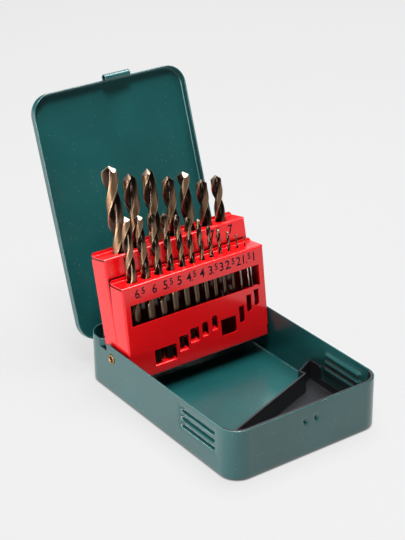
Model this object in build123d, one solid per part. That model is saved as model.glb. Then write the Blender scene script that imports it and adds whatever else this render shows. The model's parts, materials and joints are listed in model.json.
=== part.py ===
"""Drill bit case: a folded steel box whose lid lowers a double rack of nineteen twist drill bits.

Sizes are in mm. The origin is the centre of the base's underside, +Y points to the
back and +Z up. The case is built open, with the racks standing and every bit seated.
Inside a rack, "back" is measured behind its pivot and "up" along the rack.
"""
import math
import os

from build123d import *

# Sheet and case
SHEET = 0.8            # thickness of all the steel sheet
WIDTH = 110.0          # base, left to right
DEPTH = 156.0          # base, front to back
HEIGHT = 33.0          # base, floor to rim
CORNER = 12.0          # outer radius of the four upright corners
FLOOR_BEND = 2.0       # outer radius between floor and walls
GROOVE = (33.0, 2.5, 1.2)           # length, height and depth of a pressed groove
GROOVE_HEIGHTS = (15.4, 20.5, 25.6)
GROOVE_Y = 34.5 - DEPTH / 2
DIMPLES = ((-2.6, 23.0), (5.3, 23.0))
DIMPLE_RADIUS = 1.25

# Lid and its two hinges
LID_OPEN = 107.9       # degrees from closed to open
LID_PLAY = (0.5, 0.3)  # play of the flange round the base, at the sides and at front and back
LID_TOP = HEIGHT + 1.2
LID_DEPTH = 5.8
LID_BEND = 1.6         # outer radius between the lid's top and its flange
HINGE_Y = DEPTH / 2 - 1.2
HINGE_Z = HEIGHT - 8.5
HINGE_X = 30.0
PIN_RADIUS = 1.0
PIN_PLAY = 0.06
LEAF = 12.0
KNUCKLE = 6.0
KNUCKLE_PLAY = 0.4
WINDOW_LOW = HINGE_Z - 3.3
WINDOW_HIGH = HEIGHT - 2.0
LUG = (-4.5, 14.0)     # ends of the rolled finger lug
LUG_RADIUS = 2.4
LUG_DROP = 8.0         # its axis under the lid's top

# Rack pivots
PIVOT_Y = DEPTH / 2 - 29.9
PIVOT_Z = HEIGHT - 8.6
SIDE_GAP = 1.4         # between base wall and rack
WASHER = 1.2
EYELET_RADIUS = 2.0
EYELET_BORE = 1.7
EYELET_PLAY = 0.08
STOP_FRONT_Y = PIVOT_Y + 5.4
STOP_BEND_Y = PIVOT_Y + 13.0 + SHEET
STOP_LOW = HEIGHT - 5.3
STOP_LENGTH = 4.7

# Racks
RACK_HALF = WIDTH / 2 - SHEET - SIDE_GAP
ACROSS = RACK_HALF / 52.8            # spreads holes and windows with the case's width
BEND = 1.1             # radius of a bend's middle line
LIP = 2.0              # height of the lip along a rack's top
FLANGE_SLIT = 0.35     # open corner between a rack's top and its side flanges
REAR_LEAN, REAR_FACE, REAR_BACK, REAR_TOP = 12.87, -6.85, 8.3, 64.3
REAR_SHELF, REAR_SHELF_HALF, REAR_ROW = -14.8, 49.0 * ACROSS, 0.9
FLANGE_END = 10.4      # radius of the rear flanges' lower ends about the pivot
FRONT_LEAN, FRONT_FACE, FRONT_BACK, FRONT_TOP = 7.33, -18.44, -4.54, 50.16
FRONT_FLANGE_LOW, FRONT_LOW, FRONT_ROW = -3.74, -11.62, -11.2
FRONT_LOW_HALF = RACK_HALF - 1.6
FRONT_SHELF_RISE = 8.0
WELD_LIP = 3.6
LONG_WINDOW = (48.3, 12.0, 25.8)     # half width, and depths under the rack's top
TAB = 10.2             # length of a shelf tab
TAB_RISE = 15.0        # degrees a tab folded from its lower edge climbs to the back
TAB_FALL = 10.0        # degrees a tab folded from its upper edge drops to the back

# Small windows: left, right, upper and lower depth, corner radius, edge the tab folds from
WINDOWS = (
    (-34.5, -18.4, 45.3, 55.7, 0.8, "lower"),
    (-16.0, -9.1, 42.0, 51.8, 0.8, "lower"),
    (-7.5, -0.7, 39.5, 48.7, 0.8, "lower"),
    (1.6, 6.4, 37.8, 47.2, 2.2, "lower"),
    (9.3, 13.7, 36.0, 45.4, 2.0, "lower"),
    (16.0, 27.8, 41.2, 51.6, 1.8, "upper"),
    (30.5, 34.6, 36.5, 47.1, 1.9, "upper"),
    (36.8, 40.6, 30.8, 41.4, 1.7, "upper"),
    (42.8, 46.6, 28.6, 38.8, 1.7, "upper"),
)

# Bits: diameter, length, flute length, position across, turn, and window whose tab holds it
HOLE_PLAY = 0.28
TAB_TILT = 3.6         # degrees a bit on a tab leans back from square to its rack
SHELF_TILT = 1.0       # the same for the bit on the bottom shelf
REAR_TILT = -1.8       # the rear row leans forward
REAR_BITS = (
    (10.0, 133, 87, -36.2, 20),
    (9.5, 125, 81, -23.2, 75),
    (9.0, 125, 81, -9.6, 130),
    (8.5, 117, 75, 3.9, 60),
    (8.0, 117, 75, 15.6, 160),
    (7.5, 109, 69, 28.3, 95),
    (7.0, 109, 69, 39.6, 10),
)
FRONT_BITS = (
    (6.5, 101, 63, -41.0, 50, None),
    (6.0, 93, 57, -30.9, 110, 0),
    (5.5, 93, 57, -21.7, 10, 0),
    (5.0, 86, 52, -12.8, 70, 1),
    (4.5, 80, 47, -4.1, 140, 2),
    (4.0, 75, 43, 3.5, 30, 3),
    (3.5, 70, 39, 11.0, 90, 4),
    (3.0, 61, 33, 18.0, 120, 5),
    (2.5, 57, 30, 24.9, 45, 5),
    (2.0, 49, 24, 31.8, 80, 6),
    (1.5, 40, 18, 38.1, 15, 7),
    (1.0, 34, 12, 43.8, 100, 8),
)
FLUTE_LEAD = 5.8       # diameters for one turn of the flutes
FLUTE_STEP = 36.0      # largest turn between two rings of a bit's facets, degrees
BIT_OUTLINE = ((1.0, 48), (1.0, 90), (1.0, 132), (0.3, 170))  # radius share, angle of a land
POINT_ANGLE = 118.0
SEAT_GAP = 0.05        # between a bit's end and its shelf

# Tip guard
GUARD_WALL = 1.2
GUARD_FIT = 0.1
GUARD_TOP = HEIGHT - 0.5
GUARD_LINER = 10.8     # how far the liner reaches back along the side walls
GUARD_HIGH = 15.0
GUARD_LOW = 6.5
GUARD_LINE = ((-0.479, 19.9), (0.3655, 54.3), (0.3582, 58.9))  # fraction of width, distance from front
GUARD_BACK = 66.4
GUARD_TAB = 11.5

FRONT = -DEPTH / 2
SIDE = WIDTH / 2


def rounded_tray(width, depth, height, corner, bend):
    """A block with round upright corners and a round lower edge."""
    body = extrude(RectangleRounded(width, depth, corner), amount=height)
    return fillet(body.edges().group_by(Axis.Z)[0], bend)


def block(x, y, z):
    """A box between two limits on each axis."""
    size = Box(x[1] - x[0], y[1] - y[0], z[1] - z[0])
    return Pos((x[0] + x[1]) / 2, (y[0] + y[1]) / 2, (z[0] + z[1]) / 2) * size


def folded(points, left, right, radius=BEND):
    """A strip of sheet bent along its middle line, given as (y, z) points."""
    middle = FilletPolyline(*points, radius=radius)
    profile = Plane.YZ * trace(middle, line_width=SHEET)
    return Pos(left, 0, 0) * extrude(profile, amount=right - left)


def crosswise(radius, left, right, y=0.0, z=0.0):
    """A round bar along X."""
    bar = Cylinder(radius, right - left)
    return Pos((left + right) / 2, y, z) * Rot(0, 90, 0) * bar


def knuckle(left, right, y, z):
    """A rolled tube along X, one sheet thick, with running play on the pin."""
    bore = PIN_RADIUS + PIN_PLAY
    return crosswise(bore + SHEET, left, right, y, z), crosswise(bore, left - 1, right + 1, y, z)


def pressed_groove(side, height):
    """The bulge inside a wall and the groove outside it."""
    length, tall, deep = GROOVE
    inward = Vector(-side, 0, 0)
    outer = Plane(origin=(side * SIDE, GROOVE_Y, height), x_dir=(0, 1, 0), z_dir=inward)
    inner = Plane(origin=(side * (SIDE - SHEET), GROOVE_Y, height), x_dir=(0, 1, 0), z_dir=inward)
    groove = extrude(outer * SlotOverall(length, tall), amount=deep, taper=30)
    bulge = extrude(inner * SlotOverall(length + 1.1, tall + 1.1), amount=deep, taper=30)
    return bulge, groove


def stop_tab(side):
    """The notch in a side wall and the strip bent inward from it, which stops the rack."""
    notch = block((SIDE - 3, SIDE + 1), (STOP_FRONT_Y, STOP_BEND_Y), (STOP_LOW, HEIGHT + 1))
    reach = STOP_LENGTH / math.sqrt(2)
    line = FilletPolyline(
        (SIDE - SHEET / 2, STOP_BEND_Y + 3),
        (SIDE - SHEET / 2, STOP_BEND_Y),
        (SIDE - SHEET / 2 - reach, STOP_BEND_Y - reach),
        radius=0.9,
    )
    strip = Pos(0, 0, STOP_LOW) * extrude(trace(line, line_width=SHEET), amount=HEIGHT - STOP_LOW)
    if side < 0:
        return mirror(notch, about=Plane.YZ), mirror(strip, about=Plane.YZ)
    return notch, strip


def base_hinge(middle):
    """The window in the back wall and its two rolled knuckles at one hinge."""
    half = LEAF / 2 + KNUCKLE_PLAY + KNUCKLE + 0.6
    back = (DEPTH / 2 - SHEET, DEPTH / 2)
    window = block((middle - half, middle + half), (back[0] - 1, back[1] + 1), (WINDOW_LOW, WINDOW_HIGH))
    knuckles = []
    for side in (-1, 1):
        near = middle + side * (LEAF / 2 + KNUCKLE_PLAY)
        ends = sorted((near, near + side * KNUCKLE))
        tube, bore = knuckle(ends[0], ends[1], HINGE_Y, HINGE_Z)
        strip = block(ends, back, (WINDOW_LOW - 1, HINGE_Z))
        knuckles.append(tube + strip - bore)
    return window, knuckles


def base_tray():
    """The base: drawn tray, grooves, dimples, stop tabs, pivot holes and hinge knuckles."""
    tray = rounded_tray(WIDTH, DEPTH, HEIGHT, CORNER, FLOOR_BEND)
    hollow = rounded_tray(WIDTH - 2 * SHEET, DEPTH - 2 * SHEET, HEIGHT, CORNER - SHEET, FLOOR_BEND - SHEET)
    tray -= Pos(0, 0, SHEET) * hollow
    for side in (-1, 1):
        for height in GROOVE_HEIGHTS:
            bulge, groove = pressed_groove(side, height)
            tray = tray + bulge - groove
        notch, strip = stop_tab(side)
        tray = tray - notch + strip
        tray -= crosswise(EYELET_RADIUS + EYELET_PLAY, side * SIDE - 2, side * SIDE + 2, PIVOT_Y, PIVOT_Z)
        window, knuckles = base_hinge(side * HINGE_X)
        tray = tray - window + knuckles
    for x, z in DIMPLES:
        boss = Pos(x, FRONT + SHEET + 0.3, z) * Rot(90, 0, 0) * Cylinder(DIMPLE_RADIUS + 0.4, 1.0)
        dent = Pos(x, FRONT + 0.25, z) * Rot(90, 0, 0) * Cylinder(DIMPLE_RADIUS, 1.3)
        tray = tray + boss - dent
    return tray


def rolled_lug():
    """The finger lug rolled outward from the lid's front flange, in the closed lid."""
    axis_y = FRONT - 0.15 - LUG_RADIUS
    axis_z = LID_TOP - LUG_DROP
    middle = FRONT - LID_PLAY[1] - SHEET / 2
    neck = folded(
        ((middle, axis_z + 4), (middle, axis_z + 2), (axis_y + LUG_RADIUS - SHEET / 2, axis_z)),
        LUG[0], LUG[1], radius=0.5,
    )
    ring = crosswise(LUG_RADIUS, LUG[0], LUG[1], axis_y, axis_z)
    ring -= crosswise(LUG_RADIUS - SHEET, LUG[0] - 1, LUG[1] + 1, axis_y, axis_z)
    gap = Plane.YZ * Polygon((0, 0), (4, 0.6), (4, 4), (2.3, 4), align=None)
    ring -= Pos(LUG[0] - 1, axis_y, axis_z) * extrude(gap, amount=LUG[1] - LUG[0] + 2)
    return neck + ring


def lid_leaf(middle):
    """The lid's hinge leaf at one hinge, in the closed lid."""
    left, right = middle - LEAF / 2, middle + LEAF / 2
    flange = DEPTH / 2 + LID_PLAY[1] + SHEET / 2
    low = LID_TOP - LID_DEPTH
    tube, bore = knuckle(left, right, HINGE_Y, HINGE_Z)
    edge = HINGE_Y + PIN_RADIUS + PIN_PLAY + SHEET / 2
    neck = folded(((flange, low + 2), (flange, low + 0.5), (edge, HINGE_Z)), left, right, radius=0.8)
    return neck + tube - bore


def lid_shell():
    """The lid, built closed and then turned open about the hinge."""
    width = WIDTH + 2 * (LID_PLAY[0] + SHEET)
    depth = DEPTH + 2 * (LID_PLAY[1] + SHEET)
    corner = CORNER + LID_PLAY[1] + SHEET
    shell = rounded_tray(width, depth, LID_DEPTH, corner, LID_BEND)
    hollow = rounded_tray(width - 2 * SHEET, depth - 2 * SHEET, LID_DEPTH, corner - SHEET, LID_BEND - SHEET)
    shell -= Pos(0, 0, SHEET) * hollow
    shell = Pos(0, 0, LID_TOP) * Rot(180, 0, 0) * shell
    shell += rolled_lug()
    for side in (-1, 1):
        shell += lid_leaf(side * HINGE_X)
        bore = knuckle(side * HINGE_X - LEAF, side * HINGE_X + LEAF, HINGE_Y, HINGE_Z)[1]
        shell -= bore
    return Pos(0, HINGE_Y, HINGE_Z) * Rot(-LID_OPEN, 0, 0) * Pos(0, -HINGE_Y, -HINGE_Z) * shell


def hinge_pin(side):
    """A plain wire pin through one hinge."""
    half = LEAF / 2 + KNUCKLE_PLAY + KNUCKLE + 0.3
    pin = crosswise(PIN_RADIUS, side * HINGE_X - half, side * HINGE_X + half, HINGE_Y, HINGE_Z)
    return chamfer(pin.edges(), 0.2)


def eyelet():
    """The right tubular rivet: head outside the wall, flare inside the rack."""
    flare = RACK_HALF - SHEET - 0.15
    profile = Polygon(
        (flare - 0.4, EYELET_BORE), (flare - 0.4, 2.6), (flare - 0.15, 2.9), (flare, 2.9),
        (flare, EYELET_RADIUS), (SIDE, EYELET_RADIUS), (SIDE, 3.25), (SIDE + 0.3, 3.25),
        (SIDE + 0.7, 2.8), (SIDE + 0.7, 2.2), (SIDE + 0.2, EYELET_BORE), align=None,
    )
    return Pos(0, PIVOT_Y, PIVOT_Z) * revolve(Plane.XZ * profile, Axis.X)


def washer():
    """The right spacer between wall and rack."""
    left, right = SIDE - SHEET - WASHER, SIDE - SHEET
    ring = crosswise(2 * EYELET_RADIUS, left, right, PIVOT_Y, PIVOT_Z)
    return ring - crosswise(EYELET_RADIUS + 0.15, left - 1, right + 1, PIVOT_Y, PIVOT_Z)


def rack_body(face, back, low, top):
    """Front sheet, two side flanges, top plate and lip of a rack, in its own frame."""
    edge = RACK_HALF - SHEET / 2
    line = FilletPolyline(
        (-edge, back), (-edge, face + SHEET / 2), (edge, face + SHEET / 2), (edge, back), radius=BEND
    )
    high = top - SHEET - FLANGE_SLIT
    body = Pos(0, 0, low) * extrude(trace(line, line_width=SHEET), amount=high - low)
    middle, plate = face + SHEET / 2, top - SHEET / 2
    hood = folded(
        ((middle, top - 4), (middle, plate), (back - SHEET / 2, plate), (back - SHEET / 2, top + LIP)),
        -RACK_HALF + 0.3, RACK_HALF - 0.3,
    )
    for side in (-1, 1):
        ends = sorted((side * (RACK_HALF - 1.6), side * (RACK_HALF + 1)))
        hood -= block(ends, (face - 1, back + 1), (top - 5, top - SHEET))
    hood = chamfer(hood.edges().filter_by(Axis.Y).group_by(Axis.Z)[-1], 1.2)
    return body + hood


def place(rack, lean):
    """Stands a rack, or a bit in it, on the pivot at its lean."""
    return Pos(0, PIVOT_Y, PIVOT_Z) * Rot(-lean, 0, 0) * rack


def rear_rack():
    """The rear rack, which carries the pivots and the seven large bits."""
    rack = rack_body(REAR_FACE, REAR_BACK, -FLANGE_END, REAR_TOP)
    below = (-FLANGE_END - 1, 0)
    for side in (-1, 1):
        ends = sorted((side * (REAR_SHELF_HALF + 0.6), side * (RACK_HALF + 1)))
        outside = block(ends, (-20, 20), below) - crosswise(FLANGE_END, ends[0], ends[1])
        rack -= outside
        rack -= crosswise(EYELET_RADIUS + EYELET_PLAY, side * RACK_HALF - 2, side * RACK_HALF + 2)
    middle, shelf = REAR_FACE + SHEET / 2, REAR_SHELF - SHEET / 2
    rack += folded(((middle, 0), (middle, shelf), (REAR_BACK, shelf)), -REAR_SHELF_HALF, REAR_SHELF_HALF)
    for diameter, _, _, x, _ in REAR_BITS:
        rack -= Pos(x * ACROSS, REAR_ROW, REAR_TOP) * Cylinder(diameter / 2 + HOLE_PLAY, 4)
    return place(rack, REAR_LEAN)


def shelf_tab(window):
    """The opening of one small window and the tab folded back from its edge."""
    left, right, upper, lower, corner, edge = window
    left, right = left * ACROSS, right * ACROSS
    high, low = FRONT_TOP - upper, FRONT_TOP - lower
    middle = FRONT_FACE + SHEET / 2
    if edge == "lower":
        fold, slope, away = low - SHEET / 2, math.radians(TAB_RISE), -3
        low -= 1.1
    else:
        fold, slope, away = high + SHEET / 2, -math.radians(TAB_FALL), 3
        high += 1.1
    opening = block((left, right), (FRONT_FACE - 1, FRONT_FACE + 2), (low, high))
    free = opening.edges().filter_by(Axis.Y).group_by(Axis.Z)[-1 if edge == "lower" else 0]
    opening = fillet(free, corner)
    end = (middle + TAB * math.cos(slope), fold + TAB * math.sin(slope))
    tab = folded(((middle, fold + away), (middle, fold), end), left + 0.1, right - 0.1, radius=0.9)
    return opening, tab


def rear_face_at(up):
    """Where the rear rack's front face lies in the front rack's frame, at a height."""
    delta = math.radians(REAR_LEAN - FRONT_LEAN)
    return (REAR_FACE + up * math.sin(delta)) / math.cos(delta)


def front_shelf():
    """The front rack's lower sheet, its bottom shelf and the lip welded to the rear rack."""
    middle, low = FRONT_FACE + SHEET / 2, FRONT_LOW + SHEET / 2
    gap = SHEET / 2 + 0.02
    rise = math.tan(math.radians(FRONT_SHELF_RISE))
    back = rear_face_at(low) - gap
    shelf = low + (back - middle) * rise
    lip = shelf - WELD_LIP
    line = ((middle, 2), (middle, low), (rear_face_at(shelf) - gap, shelf), (rear_face_at(lip) - gap, lip))
    return folded(line, -FRONT_LOW_HALF, FRONT_LOW_HALF)


def front_rack():
    """The front rack with its windows and lanced shelves, welded to the rear rack's face."""
    rack = rack_body(FRONT_FACE, FRONT_BACK, FRONT_FLANGE_LOW, FRONT_TOP)
    rack += front_shelf()
    half, upper, lower = LONG_WINDOW
    rack -= block(
        (-half * ACROSS, half * ACROSS), (FRONT_FACE - 1, FRONT_FACE + 2), (FRONT_TOP - lower, FRONT_TOP - upper)
    )
    for window in WINDOWS:
        opening, tab = shelf_tab(window)
        rack = rack - opening + tab
    for diameter, _, _, x, _, _ in FRONT_BITS:
        rack -= Pos(x * ACROSS, FRONT_ROW, FRONT_TOP) * Cylinder(diameter / 2 + HOLE_PLAY, 4)
    rack = place(rack, FRONT_LEAN)
    behind = block((-SIDE, SIDE), (REAR_FACE - 0.02, 40), (-30, FRONT_TOP - 15))
    return rack - place(behind, REAR_LEAN)


def bit_ring(diameter, height, turn):
    """Corner points of a bit's cross-section: two lands joined by a narrow web."""
    ring = []
    for half_turn in (0, 180):
        for share, angle in BIT_OUTLINE:
            angle = math.radians(angle + half_turn + turn)
            reach = share * diameter / 2
            ring.append(Vector(reach * math.cos(angle), reach * math.sin(angle), height))
    return ring


def skin(rings):
    """A solid of flat facets through a stack of rings."""
    faces = [Face(Wire.make_polygon(rings[0])), Face(Wire.make_polygon(rings[-1]))]
    for lower, upper in zip(rings, rings[1:]):
        for i in range(len(lower)):
            j = (i + 1) % len(lower)
            faces.append(Face(Wire.make_polygon([lower[i], lower[j], upper[j]])))
            faces.append(Face(Wire.make_polygon([lower[i], upper[j], upper[i]])))
    return Solid(Shell(faces))


def drill_bit(diameter, length, flute):
    """A twist drill bit standing on its shank end: round shank, twisted flutes and point."""
    point = diameter / 2 / math.tan(math.radians(POINT_ANGLE / 2))
    twisted = flute - point
    turn = 360 * twisted / (FLUTE_LEAD * diameter)
    steps = math.ceil(turn / FLUTE_STEP)
    low = length - flute
    rings = [bit_ring(diameter, low + twisted * i / steps, turn * i / steps) for i in range(steps + 1)]
    rings.append(bit_ring(0.1 * diameter, length, turn))
    shank = Cylinder(diameter / 2, low, align=(Align.CENTER, Align.CENTER, Align.MIN))
    return shank + skin(rings)


def bit_name(diameter):
    """The node name of a bit, such as bit_6_5."""
    return "bit_" + f"{diameter:.1f}".replace(".", "_")


def front_seat(window):
    """A front shelf's slope, its height at the sheet's middle and the edge of a bit that it bears.

    The edge is 1 for the back of the bit's end and -1 for the front.
    """
    if window is None:
        slope, fold, edge = FRONT_SHELF_RISE, FRONT_LOW + SHEET / 2, 1
    elif WINDOWS[window][5] == "lower":
        slope, fold, edge = TAB_RISE, FRONT_TOP - WINDOWS[window][3] - SHEET / 2, 1
    else:
        slope, fold, edge = -TAB_FALL, FRONT_TOP - WINDOWS[window][2] + SHEET / 2, -1
    slope = math.radians(slope)
    return math.tan(slope), fold + SHEET / 2 / math.cos(slope), edge


def seated(bit, radius, hole, tilt, seat):
    """A bit standing in its hole at a tilt, with one edge of its end just above the shelf."""
    rise, height, edge = seat
    angle = math.radians(tilt)
    back = hole[1] + edge * radius * math.cos(angle) - FRONT_FACE - SHEET / 2
    fall = hole[2] - edge * radius * math.sin(angle) - height - SEAT_GAP - rise * back
    depth = fall / (math.cos(angle) - rise * math.sin(angle))
    return Pos(*hole) * Rot(-tilt, 0, 0) * Pos(0, 0, -depth) * bit


def bits():
    """All the bits, seated in their racks."""
    made = {}
    for diameter, length, flute, x, turn in REAR_BITS:
        bit = Rot(0, 0, turn) * drill_bit(diameter, length, flute)
        hole = (x * ACROSS, REAR_ROW, REAR_TOP - SHEET / 2)
        bit = seated(bit, diameter / 2, hole, REAR_TILT, (0, REAR_SHELF, -1))
        made[bit_name(diameter)] = place(bit, REAR_LEAN)
    for diameter, length, flute, x, turn, window in FRONT_BITS:
        bit = Rot(0, 0, turn) * drill_bit(diameter, length, flute)
        hole = (x * ACROSS, FRONT_ROW, FRONT_TOP - SHEET / 2)
        tilt = SHELF_TILT if window is None else TAB_TILT
        bit = seated(bit, diameter / 2, hole, tilt, front_seat(window))
        made[bit_name(diameter)] = place(bit, FRONT_LEAN)
    return made


def guard_line():
    """The guard's inner wall in plan, from the left side to the right."""
    points = [(x * WIDTH, FRONT + y) for x, y in GUARD_LINE]
    return points + [(SIDE - SHEET, FRONT + GUARD_BACK)]


def tip_guard():
    """The plastic guard: liner round the front wall, low tray and high inner wall."""
    fit = SHEET + GUARD_FIT
    outer = rounded_tray(WIDTH - 2 * fit, DEPTH - 2 * fit, GUARD_TOP - SHEET, CORNER - fit, FLOOR_BEND)
    outer = Pos(0, 0, SHEET) * outer
    inset = fit + GUARD_WALL
    hollow = rounded_tray(WIDTH - 2 * inset, DEPTH - 2 * inset, HEIGHT, CORNER - inset, FLOOR_BEND - 1)
    shell = outer - Pos(0, 0, 2 * SHEET) * hollow
    line = guard_line()
    corners = ((-SIDE, line[0][1]), (-SIDE, FRONT), (SIDE, FRONT), (SIDE, line[-1][1]))
    plan = Polygon(*corners, *reversed(line), align=None)
    low = extrude(plan, amount=GUARD_LOW) & shell
    liner = shell & block((-SIDE, SIDE), (FRONT, FRONT + GUARD_LINER), (0, HEIGHT))
    wall = extrude(trace(Polyline(*line), line_width=GUARD_WALL), amount=GUARD_HIGH) & outer
    back = FRONT + GUARD_BACK
    tab = block((SIDE - 3, SIDE), (back - GUARD_TAB, back), (0, GUARD_HIGH))
    tab = fillet(tab.edges().filter_by(Axis.X).sort_by(lambda e: e.center().Y - e.center().Z)[0], 2.5)
    raised = block((-4.3, 7.9), (FRONT + fit, FRONT + inset), (GUARD_TOP - 1, HEIGHT))
    guard = low + liner + wall + (tab & shell) + raised
    for x, z in DIMPLES:
        guard -= Pos(x, FRONT + 1, z) * Rot(90, 0, 0) * Cylinder(DIMPLE_RADIUS + 0.6, 6)
    return guard


def main():
    """Builds every node and writes it to the parts folder."""
    right_eyelet, right_washer = eyelet(), washer()
    nodes = {
        "base_tray": base_tray(),
        "tip_guard": tip_guard(),
        "left_eyelet": mirror(right_eyelet, about=Plane.YZ),
        "right_eyelet": right_eyelet,
        "left_washer": mirror(right_washer, about=Plane.YZ),
        "right_washer": right_washer,
        "left_hinge_pin": hinge_pin(-1),
        "right_hinge_pin": hinge_pin(1),
        "lid_shell": lid_shell(),
        "rear_rack": rear_rack(),
        "front_rack": front_rack(),
    }
    nodes.update(bits())
    os.makedirs("parts", exist_ok=True)
    for name, shape in nodes.items():
        export_step(shape, "parts/" + name + ".step")


main()
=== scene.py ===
# %% [markdown]
# # A drill bit case
#
# The case is a box of drawn and folded steel sheet. Opening its lid stands two racks of
# twist drill bits up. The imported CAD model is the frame: it says where every piece is and
# how it moves. Each piece below is made in place round that frame, and rides on one of its
# bodies.

# %% Load the frame
import json
import math

import bmesh
import bpy
import numpy as np
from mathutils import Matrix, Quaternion, Vector


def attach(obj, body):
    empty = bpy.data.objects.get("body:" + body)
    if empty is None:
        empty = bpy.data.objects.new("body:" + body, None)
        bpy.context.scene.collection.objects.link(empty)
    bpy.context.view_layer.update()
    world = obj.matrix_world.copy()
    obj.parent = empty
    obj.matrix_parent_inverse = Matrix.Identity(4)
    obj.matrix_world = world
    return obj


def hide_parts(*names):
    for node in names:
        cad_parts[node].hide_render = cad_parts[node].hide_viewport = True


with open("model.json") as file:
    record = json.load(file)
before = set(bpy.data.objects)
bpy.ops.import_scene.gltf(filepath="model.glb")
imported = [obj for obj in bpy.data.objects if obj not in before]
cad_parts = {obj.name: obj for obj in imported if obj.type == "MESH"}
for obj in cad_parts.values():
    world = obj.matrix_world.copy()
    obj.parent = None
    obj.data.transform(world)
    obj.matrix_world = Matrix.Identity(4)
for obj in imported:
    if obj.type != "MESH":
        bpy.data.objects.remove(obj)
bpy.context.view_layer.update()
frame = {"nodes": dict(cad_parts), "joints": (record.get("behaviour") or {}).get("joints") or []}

# %% [markdown]
# ## Light and camera
#
# Glossy paint is mostly what it mirrors, so the studio matters as much as the paint. A pale
# table lights the case from below and gives the grey sheen on its outside walls. A long low
# lamp on the left lights the red flanges and the drill bits, and being low it leaves the
# inside of the far wall in shade. Two lamps hang high, and a weak one behind draws thin
# lines of sheen along edges. A view gamma of 0.9 keeps the open lid a deep green.
#
# The camera stands to the front left, a little under a metre away, and looks down into the
# case. A longer lens from further off would flatten the case, and a wide one close by would
# make its front corner loom, so this lens keeps the edges nearly parallel.

# %% Camera
CAMERA_PLACE = Vector((-0.4862, -0.6672, 0.4984))
AZIMUTH, ELEVATION, ROLL = (math.radians(d) for d in (-34.98, 26.39, -0.73))
FOCAL_PIXELS = 1552.5
PICTURE_HEIGHT = 540
SENSOR = 36.0


def add_object(name, data):
    """A new object in the scene."""
    made = bpy.data.objects.new(name, data)
    bpy.context.scene.collection.objects.link(made)
    return made


camera = add_object("camera", bpy.data.cameras.new("camera"))
bpy.context.scene.camera = camera
camera.data.sensor_width = SENSOR
camera.data.lens = SENSOR * FOCAL_PIXELS / PICTURE_HEIGHT
camera.location = CAMERA_PLACE
look = Vector((
    -math.sin(AZIMUTH) * math.cos(ELEVATION),
    math.cos(AZIMUTH) * math.cos(ELEVATION),
    -math.sin(ELEVATION),
))
camera.rotation_mode = "QUATERNION"
camera.rotation_quaternion = look.to_track_quat("-Z", "Y") @ Quaternion((0, 0, 1), ROLL)
print("lens", round(camera.data.lens, 1), "mm")

# %% Lamps
CASE_MIDDLE = Vector((0, 0, 0.05))
LAMPS = (
    # name, place, width, height, power
    ("left_lamp", (-1.1, 0.1, 0.11), 2.0, 0.18, 16),
    ("top_lamp", (0.3, 0.15, 1.4), 1.0, 0.8, 32),
    ("front_lamp", (-0.45, -0.6, 1.9), 0.7, 0.5, 43),
    ("back_lamp", (0.75, 1.05, 0.75), 1.0, 0.7, 3),
)
WORLD_GREY = (0.03, 0.03, 0.033, 1)
VIEW_GAMMA = 0.9


def soft_lamp(name, place, width, height, power):
    """A rectangular soft lamp at `place`, facing the case, in metres and watts."""
    lamp = bpy.data.lights.new(name, "AREA")
    lamp.shape = "RECTANGLE"
    lamp.size, lamp.size_y = width, height
    lamp.energy = power
    made = add_object(name, lamp)
    made.location = place
    aim = CASE_MIDDLE - Vector(place)
    made.rotation_mode = "QUATERNION"
    made.rotation_quaternion = aim.to_track_quat("-Z", "Y")


for lamp_row in LAMPS:
    soft_lamp(*lamp_row)

world = bpy.data.worlds.new("dim studio")
world.use_nodes = True
world.node_tree.nodes["Background"].inputs["Color"].default_value = WORLD_GREY
bpy.context.scene.world = world
bpy.context.scene.view_settings.view_transform = "Standard"
bpy.context.scene.view_settings.gamma = VIEW_GAMMA

# %% [markdown]
# ## Helpers for materials
#
# A finish is a small network of nodes over one shader. Colours are written as sRGB hex
# values, as on a paint card, and one function turns them into the linear values that the
# shader works in.

# %% Material helpers
MM = 0.001


def linear(hex_colour):
    """Linear RGBA of an sRGB hex colour: a short straight part, then a power of 2.4."""
    srgb = np.array([int(hex_colour[i:i + 2], 16) for i in (1, 3, 5)]) / 255
    rgb = np.where(srgb <= 0.04045, srgb / 12.92, ((srgb + 0.055) / 1.055) ** 2.4)
    return (*rgb.tolist(), 1.0)


def add_node(tree, kind, inputs=None, **settings):
    """Adds a node with its settings. `inputs` gives a socket a value or another node's output."""
    made = tree.nodes.new(kind)
    for name, value in settings.items():
        setattr(made, name, value)
    for socket, value in (inputs or {}).items():
        if isinstance(value, bpy.types.NodeSocket):
            tree.links.new(value, made.inputs[socket])
        else:
            made.inputs[socket].default_value = value
    return made


def new_finish(name):
    """An empty material and its node tree."""
    finish = bpy.data.materials.new(name)
    finish.use_nodes = True
    finish.node_tree.nodes.clear()
    return finish, finish.node_tree


def per_metre(millimetres):
    """The scale of a texture whose features are this far apart."""
    return 1 / (millimetres * MM)


# %% [markdown]
# ## Sprayed enamel on steel
#
# The case is deep-drawn steel with a sprayed and baked green enamel. Enamel is a smooth
# dielectric film: its colour is seen straight on, and it turns pale at a glancing angle as
# it mirrors the bright table. Spraying leaves a faint orange peel, about 1.5 mm from bump
# to bump, and a few pale specks of dust baked into the film.

# %% Green enamel
DRIFT_SPACING = 40  # the colour drifts slowly from place to place
PEEL_SPACING = 1.5
SPECK_SPACING = 2.8
SPECK_SIZE = 0.42  # about twice the real size, so that a speck shows
FILM_IOR = 1.52


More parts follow.
